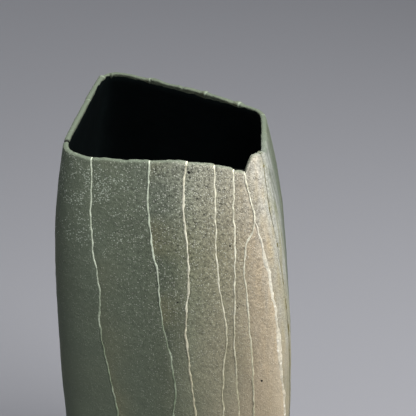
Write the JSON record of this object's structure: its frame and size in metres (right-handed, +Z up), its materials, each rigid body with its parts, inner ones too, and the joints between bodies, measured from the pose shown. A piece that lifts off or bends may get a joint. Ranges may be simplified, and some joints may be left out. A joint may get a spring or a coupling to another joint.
{
  "type": "stoneware vase",
  "caption": "Tall four-sided stoneware vase with a leaning, trapezium-shaped mouth, hand-built from vertical clay strips joined with pale slip, glazed dark inside.",
  "frame": {"origin": "middle of the part's box in plan, on the resting face (z = 0 is the underside of the base slab)", "axes": "+Z up; -Y is the broad front with its six strips; +X is the right-hand side, next to the forked corner joint"},
  "size_m": [0.1255, 0.119, 0.2834],
  "materials": {
    "stoneware_green": "unglazed sandy stoneware, grey-green, matt, with pale specks",
    "stoneware_olive": "unglazed sandy stoneware, between grey-green and sand, matt",
    "stoneware_sand": "unglazed sandy stoneware, warm sand colour, matt, with dark iron pits",
    "pale_slip": "pale slip, dry and slightly rough",
    "raw_clay": "bare fired clay, rubbed smooth",
    "dark_glaze": "glossy near-black glaze"
  },
  "bodies": {
    "root": {"base_slab": "raw_clay", "wall_front_left": "stoneware_green", "wall_front_1": "stoneware_green", "wall_front_2": "stoneware_green", "wall_left_1": "stoneware_green", "wall_left_2": "stoneware_green", "wall_back_left": "stoneware_green", "wall_back_2": "stoneware_green", "wall_front_3": "stoneware_olive", "wall_front_4": "stoneware_olive", "wall_back_1": "stoneware_olive", "wall_back_right": "stoneware_olive", "wall_right_3": "stoneware_olive", "wall_front_5": "stoneware_sand", "corner_gore": "stoneware_sand", "wall_right_1": "stoneware_sand", "wall_right_2": "stoneware_sand", "slip_front_left": "pale_slip", "slip_front_1": "pale_slip", "slip_front_2": "pale_slip", "slip_front_3": "pale_slip", "slip_front_4": "pale_slip", "slip_front_5": "pale_slip", "slip_corner": "pale_slip", "slip_gore_right": "pale_slip", "slip_right_1": "pale_slip", "slip_right_2": "pale_slip", "slip_back_right": "pale_slip", "slip_back_1": "pale_slip", "slip_back_2": "pale_slip", "slip_back_3": "pale_slip", "slip_back_left": "pale_slip", "slip_left_1": "pale_slip", "floor_coil": "raw_clay", "glaze_liner": "dark_glaze"}
  },
  "joints": []
}
